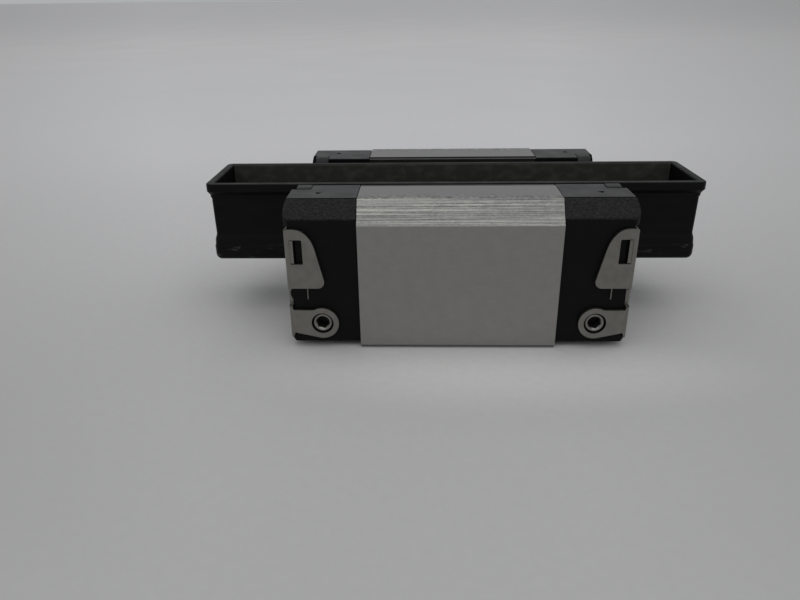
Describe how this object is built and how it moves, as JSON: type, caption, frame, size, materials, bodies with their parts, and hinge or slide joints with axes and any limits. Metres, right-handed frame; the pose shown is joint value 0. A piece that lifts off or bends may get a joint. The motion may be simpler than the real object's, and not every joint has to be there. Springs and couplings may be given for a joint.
{
  "type": "linear guide carriage",
  "caption": "Short ball runner block for a profiled rail: steel saddle, moulded end caps, bent end plates, recirculating ball rows and a slide-out transport arbor.",
  "frame": {"origin": "centre of the mounting face, on the face", "axes": "+X along the rail, +Y across the rail to the rear leg, +Z from the mounting face to the open side of the rail channel, so the block lies upside down on its mounting face"},
  "size_m": [0.0683, 0.034, 0.02],
  "materials": {
    "ground_steel": "drawn and ground steel, satin; bright longitudinal lines on the leg chamfers",
    "hardened_steel": "hardened and ground raceway steel",
    "ball_steel": "polished bearing balls",
    "stainless_sheet": "punched stainless sheet, dull",
    "screw_steel": "plain steel screws",
    "cap_plastic": "black glass-filled moulding, fine texture on the facets",
    "guide_plastic": "natural acetal moulding",
    "seal_rubber": "black elastomer",
    "arbor_plastic": "black moulded plastic with faint scuffs"
  },
  "bodies": {
    "carriage": {"ball_circuit_lower_front": "ball_steel", "ball_circuit_lower_rear": "ball_steel", "ball_circuit_upper_front": "ball_steel", "ball_circuit_upper_rear": "ball_steel", "ball_guide_centre_front": "guide_plastic", "ball_guide_centre_rear": "guide_plastic", "ball_guide_lower_front": "guide_plastic", "ball_guide_lower_rear": "guide_plastic", "ball_guide_upper_front": "guide_plastic", "ball_guide_upper_rear": "guide_plastic", "cap_screw_left_front": "screw_steel", "cap_screw_left_rear": "screw_steel", "cap_screw_right_front": "screw_steel", "cap_screw_right_rear": "screw_steel", "end_cap_left": "cap_plastic", "end_cap_right": "cap_plastic", "end_port_screw_left": "screw_steel", "end_port_screw_right": "screw_steel", "end_seal_left": "seal_rubber", "end_seal_right": "seal_rubber", "raceway_segment_front": "hardened_steel", "raceway_segment_rear": "hardened_steel", "recirculation_plate_left": "guide_plastic", "recirculation_plate_right": "guide_plastic", "return_tube_lower_front": "guide_plastic", "return_tube_lower_rear": "guide_plastic", "return_tube_upper_front": "guide_plastic", "return_tube_upper_rear": "guide_plastic", "runner_block_body": "ground_steel", "side_port_screw_left_front": "screw_steel", "side_port_screw_left_rear": "screw_steel", "side_port_screw_right_front": "screw_steel", "side_port_screw_right_rear": "screw_steel", "side_seal_front": "seal_rubber", "side_seal_rear": "seal_rubber", "threaded_plate_left": "stainless_sheet", "threaded_plate_right": "stainless_sheet"},
    "arbor": {"transport_arbor": "arbor_plastic"}
  },
  "joints": [
    {"name": "arbor_slide", "type": "slide", "parent": "carriage", "child": "arbor", "axis": [1, 0, 0], "range_m": [-0.057, 0.057]}
  ]
}
